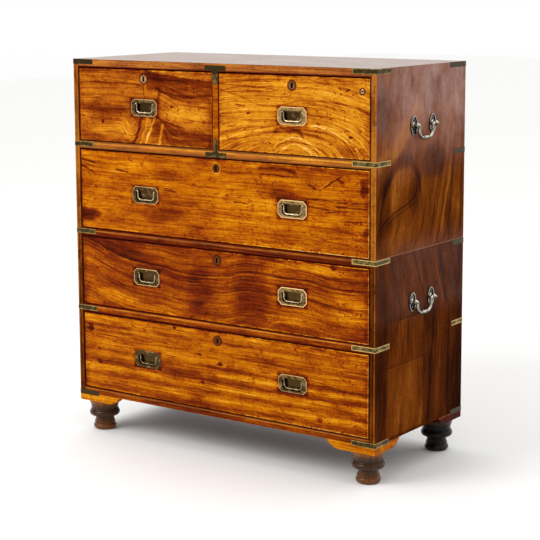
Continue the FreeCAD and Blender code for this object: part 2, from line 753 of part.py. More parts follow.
long_reach = inner_x - gap_beside
short_reach = divider_thickness / 2 + gap_beside
handle_x = (long_reach + short_reach) / 2
pair = [("_left", -handle_x), ("_right", handle_x)]
make_drawer("short_left", -long_reach, -short_reach, short_floor, short_floor + gap_below,
            short_front_height, [("", -handle_x)], short_handle_drop)
make_drawer("short_right", short_reach, long_reach, short_floor, short_floor + gap_below,
            short_front_height, [("", handle_x)], short_handle_drop)
make_drawer("upper_long", -long_reach, long_reach, upper_z + deck_thickness, upper_z + gap_below,
            upper_front_height, pair, upper_handle_drop)
make_drawer("middle_long", -long_reach, long_reach, middle_floor, middle_floor + gap_below,
            middle_front_height, pair)
make_drawer("bottom_long", -long_reach, long_reach, bottom_floor, bottom_floor + gap_below,
            bottom_front_height, pair)

# ---------------------------------------------------------------- export ----
os.makedirs("parts", exist_ok=True)
for node_name, shape in nodes.items():
    shape.exportStep("parts/" + node_name + ".step")
    print(node_name, len(shape.Solids), round(shape.Volume / 1000, 1), "cm3", shape.isValid())
print(len(nodes), "parts")
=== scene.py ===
import math

import bmesh
import bpy
from mathutils import Matrix, Vector


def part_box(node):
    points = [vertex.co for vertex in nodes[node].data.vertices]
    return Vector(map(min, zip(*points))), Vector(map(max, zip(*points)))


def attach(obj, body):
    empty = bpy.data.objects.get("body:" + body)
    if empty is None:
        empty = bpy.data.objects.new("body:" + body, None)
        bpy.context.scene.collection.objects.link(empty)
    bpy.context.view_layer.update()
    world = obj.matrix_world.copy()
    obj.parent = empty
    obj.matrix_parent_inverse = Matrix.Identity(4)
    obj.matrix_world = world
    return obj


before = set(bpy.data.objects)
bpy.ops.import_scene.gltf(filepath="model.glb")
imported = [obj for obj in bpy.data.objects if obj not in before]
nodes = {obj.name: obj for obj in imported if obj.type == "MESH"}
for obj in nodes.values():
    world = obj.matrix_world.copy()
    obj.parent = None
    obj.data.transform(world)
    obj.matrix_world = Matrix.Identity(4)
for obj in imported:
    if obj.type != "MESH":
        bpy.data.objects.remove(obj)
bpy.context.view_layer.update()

# What several pieces share, in millimetres: x from the middle to the right, y from the middle to
# the back and z up from the floor. The two sections part at the split.
half_width, front_y, top_z, split = 495.0, -226.0, 1063.8, 589.1
# The handles of each drawer: which sides of the middle they stand on, and their height.
handles = {"short_left": ((-1,), 936.8), "short_right": ((1,), 936.8),
           "upper_long": ((-1, 1), 697.8), "middle_long": ((-1, 1), 469.25),
           "bottom_long": ((-1, 1), 238.25)}
handle_x, plate_half_x, plate_half_z = 243.25, 45.0, 23.5
keyhole_levels = (1014.8, 787.8, 541.5, 322.0)
eyelet_x, eyelet_z = 454.0, 1006.9
strap_levels = {"upper": (1056.55, 827.55), "lower": (581.0, 360.25, 112.5)}


# ------------------------------------------------------------------ sides --
# Each side of the two boxes is a wide camphor board with its grain upright, dovetailed to the
# boards above and below it. Its old polish has gone red-brown and is nearly black in places. A
# pale pink sheen is painted near the top of each section, and the lower sides are set darker,
# partly as painted shade.
class Wire:
    """A socket of a material's tree. Python's operators on it add Math nodes."""

    def __init__(self, tree, socket=None):
        self.tree = tree
        self.socket = socket

    def node(self, kind, settings, sockets, output=0):
        """Adds a node: its settings, then its sockets' values or wires.

        Among the settings, stops are the colours of a ramp and points the shape of a curve.
        """
        family = "" if kind.startswith(("Geometry", "Function")) else "ShaderNode"
        made = self.tree.nodes.new(family + kind)
        for name, value in settings.items():
            if name == "stops":
                ramp = made.color_ramp.elements
                ramp.remove(ramp[1])
                ramp[0].position, ramp[0].color = value[0][0], (*value[0][1], 1.0)
                for place, colour in value[1:]:
                    ramp.new(place).color = (*colour, 1.0)
            elif name == "points":
                curve = made.mapping.curves[0].points
                curve[0].location, curve[1].location = value[0], value[-1]
                for point in value[1:-1]:
                    curve.new(*point)
                made.mapping.update()
            else:
                setattr(made, name, value)
        for name, value in sockets.items():
            if isinstance(value, Wire):
                self.tree.links.new(value.socket, made.inputs[name])
            else:
                made.inputs[name].default_value = value
        return Wire(self.tree, made.outputs[output])

    def maths(self, operation, *values):
        """A Math node on the given values, of which self need not be one."""
        return self.node("Math", {"operation": operation}, dict(enumerate(values)))

    def __add__(self, other):
        return self.maths("ADD", self, other)

    def __sub__(self, other):
        return self.maths("SUBTRACT", self, other)

    def __rsub__(self, other):
        return self.maths("SUBTRACT", other, self)

    def __mul__(self, other):
        return self.maths("MULTIPLY", self, other)

    def __truediv__(self, other):
        return self.maths("DIVIDE", self, other)

    def __abs__(self):
        return self.maths("ABSOLUTE", self)

    __radd__ = __add__

    def ease(self, start, end):
        """0 before start, 1 after end and smooth between them; start may be the larger."""
        return self.node("MapRange", {"interpolation_type": "SMOOTHSTEP"},
                         {"Value": self, "From Min": start, "From Max": end})

    def ramp(self, stops):
        """The colour at this place between (place, colour) stops."""
        return self.node("ValToRGB", {"stops": stops}, {"Fac": self})

    def along(self, points):
        """The height over this place of a smooth curve through (place, height) points."""
        start, length = points[0][0], points[-1][0] - points[0][0]
        low = min(height for _, height in points)
        rise = max(height for _, height in points) - low + 0.001
        scaled = [((place - start) / length, (height - low) / rise) for place, height in points]
        share = (self - start) / length
        return share.node("FloatCurve", {"points": scaled}, {"Value": share}) * rise + low

    def mixed(self, other, share):
        """This colour with a share of another: a Mix node's sockets 0, 6 and 7."""
        return self.node("Mix", {"data_type": "RGBA"}, {0: share, 6: self, 7: other}, 2)


def least(*wires):
    """The smallest of some values at each point."""
    low = wires[0]
    for wire in wires[1:]:
        low = low.maths("MINIMUM", low, wire)
    return low


def nearest(value, places):
    """How far a value is from the nearest of some places."""
    return least(*[abs(value - place) for place in places])


def cloud(x, y, z, detail=2.0, roughness=0.55):
    """Smooth noise about zero, one unit of x, y and z to a swell."""
    vector = x.node("CombineXYZ", {}, {0: x, 1: y, 2: z})
    noise = x.node("TexNoise", {}, {"Vector": vector, "Scale": 1.0, "Detail": detail,
                                    "Roughness": roughness})
    return noise - 0.5


def flecks(x, y, size, share):
    """Scattered small marks: size is against the pitch, share is how many places have one."""
    vector = x.node("CombineXYZ", {}, {0: x, 1: y, 2: 0.0})
    cells = {"Vector": vector, "Scale": 1.0, "Randomness": 1.0}
    chance = x.node("SeparateColor", {}, {0: x.node("TexVoronoi", {}, cells, 1)}, 0)
    distance = x.node("TexVoronoi", {}, cells)
    return distance.ease(size, size * 0.4) * chance.ease(1.0 - share, 1.02 - share)


class Surface:
    """A material in the making: its shader, and each point's place in millimetres."""

    def __init__(self, name, **steady):
        self.material = bpy.data.materials.new(name)
        self.material.use_nodes = True
        self.tree = self.material.node_tree
        self.shader = self.tree.nodes["Principled BSDF"]
        for socket, value in steady.items():
            self.shader.inputs[socket.replace("_", " ")].default_value = value
        place = Wire(self.tree).node("TexCoord", {}, {}, "Object")
        for number, axis in enumerate("xyz"):
            metres = place.node("SeparateXYZ", {}, {0: place}, number)
            setattr(self, axis, metres * 1000.0)

    def coat(self, height, depth, **wires):
        """Links what varies; height is a surface height of that depth in millimetres."""
        for socket, wire in wires.items():
            self.tree.links.new(wire.socket, self.shader.inputs[socket.replace("_", " ")])
        bump = height.node("Bump", {}, {"Height": height, "Distance": depth / 1000.0,
                                        "Strength": 1.0}, "Normal")
        self.tree.links.new(bump.socket, self.shader.inputs["Normal"])
        return self.material


def patch(u, v, middle_u, middle_v, half_u, half_v, turn=0.0):
    """A soft oval patch of the board, 1 at its middle, turned by an angle in degrees."""
    c, s = math.cos(math.radians(turn)), math.sin(math.radians(turn))
    du = u - middle_u
    dv = v - middle_v
    a = (du * c + dv * s) / half_u
    b = (dv * c - du * s) / half_v
    return (a * a + b * b).ease(1.5, 0.0)


def timber(along, across, depth, pitch, contrast, drift=14.0):
    """Growth lines, streaks and clouds of a board: (tone about zero, fine height)."""
    wander = cloud(along / 260.0, across / 90.0, depth / 90.0)
    line = across + wander * drift
    rings = cloud(along / 420.0, line / pitch, depth / 40.0, 5.0, 0.66)
    streaks = cloud(along / 60.0, line / 1.3, depth / 9.0, 3.0)
    shade = cloud(along / 110.0, across / 42.0, depth / 60.0 + 4.0, 3.0, 0.6)
    mottle = cloud(along / 9.0, across / 16.0, depth / 20.0, 2.0)
    veins = abs(cloud(along / 330.0, line / (pitch * 2.6), depth / 50.0 + 8.0, 1.0))
    veins = veins.ease(0.035, 0.0)
    dashes = cloud(along / 14.0, line / 2.0, depth / 5.0, 1.0).ease(0.12, 0.22)
    tone = (rings * 1.05 + streaks * 0.8 - veins * 0.2) * contrast
    tone = tone + shade * 0.62 + mottle * 0.16 - dashes * 0.26
    return tone, streaks * 0.6 - dashes * 0.8


def between(value, low, high, soft):
    """1 from low to high, fading to 0 over the soft width outside them."""
    return value.ease(low - soft, low) * value.ease(high + soft, high)


def stroke(u, v, points, above, below):
    """1 on a line through (u, v) points, fading out over some millimetres above and below it."""
    rise = v - u.along(points)
    line = rise.ease(above, 0.0) * rise.ease(-below, -below * 0.4)
    return line * between(u, points[0][0], points[-1][0], 12.0)


umber = [(0.0, (0.018, 0.004, 0.001)), (0.25, (0.045, 0.009, 0.002)), (0.5, (0.10, 0.021, 0.002)),
         (0.75, (0.20, 0.048, 0.004)), (1.0, (0.39, 0.13, 0.015))]
sheen_pink = (0.44, 0.235, 0.19, 1.0)
opening_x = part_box("upper_long_drawer_front")[1].x * 1000.0 + 2.0


def front_edge(wood):
    """The board's edge between drawer and corner: a bead and groove painted as light and shade."""
    edge = abs(wood.x)
    # A painted highlight line and a painted shade line stand in for a bead and a groove.
    bead_light_and_shade = between(edge, 491.6, 493.4, 0.8) * 0.3 - between(edge, 487.0, 489.5, 1.0) * 0.2
    bead_light_and_shade = bead_light_and_shade * wood.z.ease(600.0, 560.0) + bead_light_and_shade * wood.z.ease(560.0, 600.0) * 0.4
    bead_light_and_shade = bead_light_and_shade - wood.x.ease(-480.0, -484.0) * 0.12
    # Painted shade at the opening.
    bead_light_and_shade = bead_light_and_shade - edge.ease(opening_x + 3.0, opening_x + 1.0) * 0.5
    return bead_light_and_shade + 0.19 + wood.z.ease(585.0, 592.0) * 0.24


def side_wood(name, level, sheen_strength, figure, course, lines, patches):
    """An upright board. Its grain follows the course up it, as (z, y) points.

    lines are drawn up the board: (z, y) points, fade to either side and gain. patches are soft
    ovals: middle y and z, half sizes, turn and gain.
    """
    wood = Surface(name, IOR=1.25, Specular_IOR_Level=0.006, Coat_Roughness=0.3)
    loose_y = wood.y + cloud(wood.y / 120.0, wood.z / 150.0, wood.x / 300.0, 1.0) * 40.0
    loose_z = wood.z + cloud(wood.z / 110.0, wood.y / 90.0, wood.x / 300.0 + 5.0, 1.0) * 40.0
    near_y = wood.y + cloud(wood.z / 60.0, wood.y / 40.0, 12.0, 2.0) * 14.0
    near_z = wood.z + cloud(wood.y / 60.0, wood.z / 40.0, 17.0, 2.0) * 14.0
    tone, fine = timber(wood.z, wood.y - wood.z.along(course), wood.x, 11.0, 0.56, 80.0)
    tone = tone + level
    for points, left, right, gain in lines:
        tone = tone + stroke(wood.z, near_y, points, right, left) * gain
    for middle_y, middle_z, half_y, half_z, turn, gain in patches:
        tone = tone + patch(loose_y, loose_z, middle_y, middle_z, half_y, half_z, turn) * gain
    tone = tone + figure(wood, near_y, near_z)
    stile = wood.y.ease(front_y + 0.8, front_y + 0.1)
    tone = tone + front_edge(wood) * stile
    # Painted sheen: a pale pink mix near the top of each section and towards the back stands in
    # for reflected light. The coat weight follows it.
    sheen = (cloud(near_y / 50.0, near_z / 90.0, 4.0, 6.0, 0.68) * 1.6 + 0.5) * sheen_strength
    reach = wood.z.ease(740.0, 1020.0) + between(wood.z, 450.0, 588.0, 60.0) * 0.14
    sheen = sheen * reach * (wood.y.ease(-200.0, -60.0) * 0.5 + 0.6)
    dust = abs(wood.z - split).ease(1.6, 0.6) * 0.4
    pale = (sheen + dust) * (1.0 - stile)
    return wood.coat(fine, 0.12, Base_Color=tone.ramp(umber).mixed(sheen_pink, pale),
                     Roughness=0.42 + fine * 0.12, Coat_Weight=sheen.ease(0.0, 1.2))


def upper_figure(wood, y, z):
    """Dark arches over a heart of bright wood, veins running across it and a salmon band above."""
    arch = stroke(y, z, [(-205.0, 700.0), (-172.0, 775.0), (-125.0, 826.0), (-70.0, 832.0),
                         (-30.0, 800.0), (-5.0, 740.0)], 26.0, 32.0)
    vein = stroke(y, z, [(-205.0, 668.0), (-165.0, 690.0), (-112.0, 706.0), (-70.0, 716.0),
                         (-30.0, 740.0)], 3.0, 7.0)
    second = stroke(y, z, [(-170.0, 676.0), (-112.0, 694.0), (-40.0, 712.0)], 3.0, 5.0)
    salmon = stroke(y, z, [(-215.0, 800.0), (-144.0, 856.0), (-60.0, 930.0), (0.0, 975.0)],
                    50.0, 60.0)
    return salmon * 0.26 - arch * 0.24 - vein * 0.26 - second * 0.16


def lower_figure(wood, y, z):
    """An old repair: two square-cut pieces of golden wood let into the front half."""
    lower_seam, upper_seam = 301.0, 418.0
    golden = between(y, -165.0, 8.0, 14.0)
    amber = golden * between(wood.z, 120.0, lower_seam - 1.0, 3.0) * 0.21
    tan = golden * between(wood.z, lower_seam + 1.0, upper_seam - 1.0, 3.0) * 0.12
    lower_line = abs(wood.z - lower_seam).ease(2.2, 0.4) * between(wood.y, -160.0, 12.0, 3.0)
    upper_line = abs(wood.z - upper_seam).ease(2.2, 0.4) * between(wood.y, -106.0, 14.0, 3.0)
    return amber + tan - (lower_line + upper_line) * 0.26


def plain_figure(wood, y, z):
    """Nothing but the lines and patches."""
    return y * 0.0


upper_right = side_wood(
    "upper_right_side_wood", level=0.66, sheen_strength=0.95, figure=upper_figure,
    course=[(590, 60), (762, 104), (962, 140), (1064, 150)],
    lines=[
        ([(600, 69), (680, 88), (762, 112), (860, 136), (962, 150)], 5, 6, 0.18),
        ([(600, 92), (740, 135), (900, 165)], 3, 5, 0.18),
        ([(600, 84), (762, 126), (960, 160)], 4, 6, -0.14),
        ([(620, 48), (720, 76), (813, 104), (930, 122)], 10, 6, -0.14),
        ([(600, 145), (760, 158), (900, 175), (1040, 182)], 8, 10, -0.2),
        ([(600, 205), (800, 212), (1050, 214)], 8, 14, -0.2),
        ([(610, -30), (650, 0), (720, 18)], 4, 10, -0.16)],
    patches=[
        (-122, 762, 92, 48, 46, 0.13), (-130, 636, 80, 34, 8, 0.14), (-34, 735, 22, 64, -8, -0.26),
        (-178, 790, 30, 50, -25, -0.26), (62, 812, 70, 46, 0, -0.26), (-196, 965, 50, 62, 0, -0.3),
        (112, 637, 16, 32, 0, 0.16), (100, 615, 130, 60, 0, -0.1), (-196, 690, 44, 130, 0, -0.24),
        (60, 1010, 90, 60, 0, -0.1), (10, 880, 60, 40, 0, 0.08)])
# The lower side's level is set below the upper side's, partly as painted shade.
lower_right = side_wood(
    "lower_right_side_wood", level=0.4, sheen_strength=0.95, figure=lower_figure,
    course=[(110, 0), (300, 30), (469, 20), (590, -30)],
    lines=[
        ([(400, 26), (469, 12), (519, -9), (589, -44)], 8, 8, -0.2),
        ([(430, 118), (460, 112), (520, 90), (589, 76)], 14, 10, 0.2),
        ([(110, 150), (300, 150), (400, 150), (444, 131), (510, 110), (589, 100)], 8, 10, -0.2),
        ([(120, 44), (270, 56), (400, 68), (440, 60)], 10, 8, -0.2),
        ([(120, 92), (420, 104)], 22, 18, 0.1),
        ([(430, -96), (520, -130), (589, -170)], 6, 10, -0.14)],
    patches=[
        (-200, 330, 34, 260, 0, -0.18), (196, 190, 60, 150, 0, -0.34),
        (-86, 205, 74, 100, 0, 0.12), (-30, 520, 40, 60, 0, 0.06), (205, 450, 30, 140, 0, -0.16)])
left_side = side_wood(
    "left_side_wood", level=0.52, sheen_strength=0.3, figure=plain_figure,
    course=[(110, 0), (400, 40), (700, -30), (1064, 20)],
    lines=[
        ([(120, 60), (400, 90), (700, 40), (1050, 75)], 8, 14, 0.16),
        ([(120, -60), (500, -30), (820, -70), (1050, -40)], 12, 6, -0.2)],
    patches=[
        (60, 700, 80, 120, 10, 0.2), (-90, 900, 60, 90, -8, 0.16), (-40, 300, 90, 110, 0, 0.16),
        (120, 450, 40, 90, 0, -0.16)])


def dress(material, *names):
    """Gives CAD nodes their finish, in place of any they had."""
    for name in names:
        mesh = nodes[name].data
        mesh.materials.clear()
        mesh.materials.append(material)


dress(upper_right, "upper_right_side")
dress(lower_right, "lower_right_side")
dress(left_side, "upper_left_side", "lower_left_side")


# ----------------------------------------------------- top, decks and rails --
# The top and the boards inside run from side to side and are dovetailed into the sides. The rails
# between the drawers are faced with strips of the same camphor, with a highlight painted along
# their arrises.
honey = [(0.0, (0.040, 0.003, 0.0)), (0.15, (0.105, 0.011, 0.0)), (0.30, (0.20, 0.029, 0.0)),
         (0.45, (0.36, 0.076, 0.0)), (0.60, (0.53, 0.156, 0.0)), (0.75, (0.68, 0.270, 0.004)),
         (0.88, (0.82, 0.395, 0.04)), (1.0, (0.88, 0.56, 0.26))]
faded = [(0.0, (0.05, 0.022, 0.008)), (0.5, (0.22, 0.10, 0.04)), (1.0, (0.46, 0.25, 0.11))]
mark_red, grime_and_gap_shade_brown = (0.24, 0.016, 0.0, 1.0), (0.12, 0.009, 0.0, 1.0)
gold_and_arris_highlight = (0.74, 0.40, 0.09, 1.0)
rail_edges = (128.0, 350.0, 370.5, 569.5, 589.2, 815.8, 836.3, 1042.8)
rail_arrises = (124.6, 365.5, 583.0, 829.5)
bracket_top = 110.0


def level_wood(name, level, contrast=0.6, pale=0.0):
    """Boards and rails with their grain from side to side and a highlight painted along each
    arris.

    Faces set back inside the case, the rail edges beside the drawer gaps and the back brackets
    have painted shade, with some grime at the gaps; the top is faded, partly as painted sheen.

    pale is how far the rail under the short drawers is rubbed to gold.
    """
    wood = Surface(name, IOR=1.5, Specular_IOR_Level=0.03, Coat_Roughness=0.22)
    across = wood.z + wood.y
    tone, fine = timber(wood.x, across, wood.y, 6.0, contrast)
    # Faces set back behind the front, inside the case and on the bracket returns, are darkened as
    # painted shade.
    inside = wood.y.ease(front_y + 0.6, front_y + 2.5) * wood.z.ease(top_z - 1.8, top_z - 3.8)
    # Darker beside each drawer gap: painted shade of the gap, with some grime.
    grime_and_gap_shade = nearest(wood.z, rail_edges).ease(4.0, 1.2)
    # A highlight painted along each rail's arris.
    arris_highlight = nearest(wood.z, rail_arrises).ease(3.4, 1.0)
    arris_highlight = arris_highlight * wood.y.ease(front_y + 0.6, front_y + 0.1)
    arris_highlight = arris_highlight * (cloud(wood.x / 50.0, 3.0, 9.0) + 0.8)
    marks = flecks(wood.x / 60.0, across / 14.0, 0.12, 0.3)
    tone = tone + level - wood.z.ease(780.0, 350.0) * 0.07 - wood.z.ease(140.0, 126.0) * 0.05
    # The brackets towards the back are darkened as painted shade.
    bracket = wood.z.ease(bracket_top - 2.0, bracket_top - 6.0)
    inside = inside * (1.0 - bracket * 0.55)
    dim = inside * 0.3
    dim = dim.maths("MAXIMUM", dim, grime_and_gap_shade * 0.4)
    tone = tone - dim - marks * 0.2 + arris_highlight * 0.15 - bracket * wood.y.ease(-100.0, 150.0) * 0.5
    top = wood.z.ease(top_z - 0.6, top_z - 0.2)
    polish = cloud(wood.x / 160.0, across / 40.0, 5.0, 4.0) * 0.8 + 0.70
    colour = tone.ramp(honey).mixed(mark_red, marks * 0.7)
    colour = colour.mixed(grime_and_gap_shade_brown, grime_and_gap_shade * (1.0 - inside) * 0.85)
    # Gold on the rail under the short drawers, and the painted arris highlight.
    rub_and_painted_light = between(wood.z, 815.0, 837.0, 2.0) * pale + arris_highlight * 0.16
    colour = colour.mixed(gold_and_arris_highlight, rub_and_painted_light)
    # The top is mixed towards a faded grey-brown: partly real fading, partly painted sheen of
    # light glancing off the polish.
    faded_and_sheen = top + (1.0 - top) * wood.z.ease(1042.0, 1046.0) * 0.35
    return wood.coat(fine, 0.1, Base_Color=colour.mixed(tone.ramp(faded), faded_and_sheen),
                     Roughness=0.4 + fine * 0.12, Coat_Weight=polish * top)


dress(level_wood("rail_wood", 0.42, 0.7, 0.12), "upper_drawer_rail", "lower_drawer_rail",
      "short_drawer_divider", "upper_deck", "base_board", "locating_pegs")
dress(level_wood("joint_rail_wood", 0.25), "joint_board")
dress(level_wood("bracket_wood", 0.78, 0.7), "corner_brackets")
dress(level_wood("top_wood", 0.50), "top_board")


# ------------------------------------------------------------ back boards --
# Three level boards close each section behind, nailed into rebates in the sides. They were never
# polished and have gone a dusty brown, each board its own shade.
rough = Surface("back_wood", IOR=1.45, Specular_IOR_Level=0.1)
rough_tone, rough_fine = timber(rough.x, rough.z, rough.y, 9.0, 0.8)
# The faces inside the case are darkened as painted shade.
rough_tone = rough_tone + 0.5 - rough.y.ease(225.0, 224.0) * 0.2
for board_top, change in ((269.7, 0.10), (429.3, -0.16), (split, 0.12), (743.8, -0.14),
                          (898.3, 0.12)):
    rough_tone = rough_tone + rough.z.ease(board_top - 0.4, board_top + 0.4) * change
    rough_tone = rough_tone - abs(rough.z - board_top).ease(1.6, 0.5) * 0.5
rough_tone = rough_tone - abs(rough.x).ease(455.0, 490.0) * 0.12
rough_colour = rough_tone.ramp([(0.0, (0.05, 0.018, 0.006)), (0.5, (0.21, 0.095, 0.038)),
                                (1.0, (0.42, 0.24, 0.12))])
rough.coat(rough_fine, 0.2, Base_Color=rough_colour, Roughness=0.66 + rough_fine * 0.12)
dress(rough.material, "upper_back", "lower_back")


# ---------------------------------------------------------- drawer fronts --
# Five thick camphor fronts cut from the showiest boards, each with its own figure, oiled and
# polished. They are dented, wormed and scratched, rubbed pale along their edges, and grimy
# round the handles. Shade under the rails, in the gaps, in the keyholes and round the keyhole
# plates is painted, as is a highlight along each lower edge.
glow_gold = (0.76, 0.42, 0.06, 1.0)
scratch_red, cut_red = (0.20, 0.012, 0.0, 1.0), (0.10, 0.008, 0.0, 1.0)


def damage(u, v):
    """Marks of use: pits, cracks along the grain, hair lines and slanting scratches."""
    slant = v + cloud(u / 50.0, v / 50.0, 21.0) * 30.0
    pits = flecks(u / 40.0, slant / 15.0, 0.15, 0.30) + flecks(u / 70.0, slant / 33.0, 0.09, 0.6)
    crack = abs(cloud(u / 80.0, v / 17.0, 3.0)).ease(0.012, 0.003)
    crack = crack * cloud(u / 60.0, v / 40.0, 11.0).ease(0.0, 0.08)
    hair = abs(cloud(u / 34.0, v / 5.0, 43.0)).ease(0.02, 0.004)
    hair = hair * cloud(u / 34.0, v / 26.0, 47.0).ease(0.02, 0.1)
    scratch = abs(cloud(u / 26.0, v / 20.0 + u / 44.0, 61.0)).ease(0.022, 0.006)
    scratch = scratch * cloud(u / 46.0, v / 40.0, 67.0).ease(0.03, 0.1)
    return pits, crack, hair, scratch * u.ease(-300.0, 400.0) * 1.3


def rim_wear_and_shade(tone, u, v, half_u, half_v, rub):
    """The tone, darker inside the edges, rubbed along the arrises, with painted shade and light.
    """
    side_rim = least(u + half_u, half_u - u)
    rim = least(side_rim, v + half_v, half_v - v)
    worn = cloud(u / 22.0, v / 22.0, 51.0, 3.0) + u * 0.0006
    # Darker within 24 mm of the sides and the top; along the top this is painted shade under the
    # rail.
    tone = tone - least(side_rim, half_v - v).ease(24.0, 3.0) * (rub + 0.2) * 0.4
    # A painted highlight along the lower edge, and a painted shadow of the rail along the top
    # edge.
    tone = tone + (v + half_v).ease(6.0, 2.0) * 0.10 - (half_v - v).ease(1.8, 0.6) * 0.3
    # Rubbed along the arrises, and black at the very edge as painted shade of the gap.
    return tone + rim.ease(4.0, 1.4) * (worn * 1.8 - 0.04) - rim.ease(0.8, 0.2) * 0.6


def brass_grime_and_shade(tone, wood, u, v, half_u, half_v, rub, drop, halo):
    """The tone, grimy round the handles, darker round the eyelet, with painted shade by the
    keyhole.
    """
    long_front = half_u > 300.0
    over = abs(abs(u) - handle_x) if long_front else abs(u)
    beyond = least(plate_half_x - over, plate_half_z - abs(v + drop))
    # Grime round each handle plate, and a dark line at its edge, part joint and part painted
    # shadow.
    tone = tone - beyond.ease(-10.0, 0.0) * (rub + 0.36) * 0.5 - beyond.ease(-3.0, -0.8) * 0.16
    key = half_v - 25.0 - v
    eye = u * u + key * key
    # Painted shadow round the keyhole plate, and just outside it a ring of the tone halo, painted
    # shadow where halo is dark.
    tone = tone - eye.ease(330.0, 150.0) * 0.08 + between(eye, 165.0, 215.0, 16.0) * halo
    # Darker round and inside the eyelet.
    ring_x, ring_z = wood.x - eyelet_x, wood.z - eyelet_z
    tone = tone - (ring_x * ring_x + ring_z * ring_z).ease(110.0, 60.0) * 0.5
    # Black in the keyhole as painted shade.
    return tone - eye.ease(170.0, 110.0) * wood.y.ease(front_y + 0.6, front_y + 1.4)


def drawer_front(name, level, figure, contrast, red, pale, strokes, patches, uprights=(),
                 drop=0.0, halo=-0.3):
    """Finishes a front, in u to the right and v up from its middle.

    strokes run along it and uprights across it: points, fade to either side and gain. patches are
    soft ovals: middle, half sizes, turn and gain. Deep narrow strokes and small patches are cuts,
    dark red in the wood. red is the share of old stain in the dark streaks, pale is how far the
    bright wood glows, drop is how far the handles are below the middle, and halo is the tone of
    the ring round the keyhole plate.
    """
    wood = Surface(name + "_figure", IOR=1.5, Specular_IOR_Level=0.03)
    low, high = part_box(name + "_drawer_front")
    middle = (low + high) * 500.0
    half_u = (high.x - low.x) * 500.0
    half_v = (high.z - low.z) * 500.0
    u = wood.x - middle.x
    v = wood.z - middle.z
    loose_u = u + cloud(u / 40.0, v / 24.0, wood.y / 60.0, 3.0) * 46.0
    loose_v = v + cloud(v / 12.0, u / 70.0, wood.y / 60.0 + 7.0, 3.0) * 24.0
    near_u = u + cloud(u / 30.0, v / 16.0, 31.0, 3.0) * 12.0
    near_v = v + cloud(v / 10.0, u / 34.0, 37.0, 3.0) * 10.0
    tone, fine = timber(u, figure(u, v), wood.y, 6.0, contrast)
    tone = tone + level
    cuts = u * 0.0
    faint = cloud(u / 55.0, v / 9.0, 91.0, 3.0) * 1.5 + 0.78
    for points, above, below, gain in strokes:
        line = stroke(u, near_v, points, above, below)
        if gain <= -0.4 and above + below < 8.0:
            cuts = cuts + line * -gain * 2.2
        else:
            tone = tone + line * faint * gain
    for points, left, right, gain in uprights:
        tone = tone + stroke(v, near_u, points, right, left) * faint * gain
    for middle_u, middle_v, patch_u, patch_v, turn, gain in patches:
        if patch_u < 9.5:
            spot = patch(near_u, near_v, middle_u, middle_v, patch_u, patch_v, turn)
            cuts = cuts + spot.ease(0.1, 0.6) * -gain * 1.6
        else:
            oval = patch(loose_u, loose_v, middle_u, middle_v, patch_u, patch_v, turn)
            tone = tone + oval * (gain * 0.85)
    rub = cloud(u / 35.0, v / 35.0, wood.y / 50.0)
    pits, crack, hair, scratch = damage(u, v)
    tone = tone - pits * 0.32 - crack * 0.26 - hair * 0.18 - scratch * 0.24 - cuts * 0.5
    tone = rim_wear_and_shade(tone, u, v, half_u, half_v, rub)
    tone = brass_grime_and_shade(tone, wood, u, v, half_u, half_v, rub, drop, halo)
    tone = tone - between(wood.y, -223.5, -206.0, 0.8) * 0.25
    marks = pits * 0.8 + crack + hair * 0.7 + scratch * 0.8
    blood = cloud(u / 90.0, near_v / 3.6, 71.0, 4.0).ease(0.0, 0.2) * red
    crimson = least(u + half_u, half_u - u, v + half_v).ease(2.6, 0.8) * 0.8
    colour = tone.ramp(honey).mixed(glow_gold, tone.ease(0.2, 0.75) * pale)
    colour = colour.mixed(scratch_red, marks * 0.9 + blood * tone.ease(0.75, 0.45))
    colour = colour.mixed(cut_red, cuts + crimson)
    wood.coat(fine - pits * 2.0 - crack * 2.0, 0.12, Base_Color=colour,
              Roughness=0.38 + fine * 0.14 - rub * 0.1)
    dress(wood.material, name + "_drawer_front")


def level_figure(u, v):
    """Grain from end to end."""
    return v


def broken_figure(u, v):
    """Nearly level on the left, falling to the right, and slanting steeply under the handle."""
    fall = u.along([(-231.0, 2.0), (10.0, 0.0), (70.0, -16.0), (130.0, -32.0), (231.0, -36.0)])
    slant = patch(u, v, 0.0, -66.0, 74.0, 56.0) * 0.8
    return v - fall * v.ease(90.0, 20.0) - slant * (v * 0.57 + u * 0.9 + 37.0)


def arched_figure(u, v):
    """Rings about a heart below the lower edge, a little right of the middle."""
    spread = u.ease(-120.0, 80.0) * 0.22 + 0.28
    du = (u - 12.0) * spread
    dv = v + 122.0
    return dv.maths("SQRT", dv * dv + du * du)


sweep = [(-472.0, 98.0), (-450.0, 94.0), (-360.0, 62.0), (-280.0, 46.0), (-185.0, 40.0),
         (-112.0, 30.0), (12.0, 33.0), (106.0, 52.0), (200.0, 50.0), (294.0, 48.0), (388.0, 36.0),
         (472.0, 39.0)]


def swept_figure(u, v):
    """Lines that fall steeply from the left, dip, rise past the middle and fall again."""
    return v - u.along(sweep) * 0.9


def beside(points, drop):
    """The same line moved down."""
    return [(u, v - drop) for u, v in points]


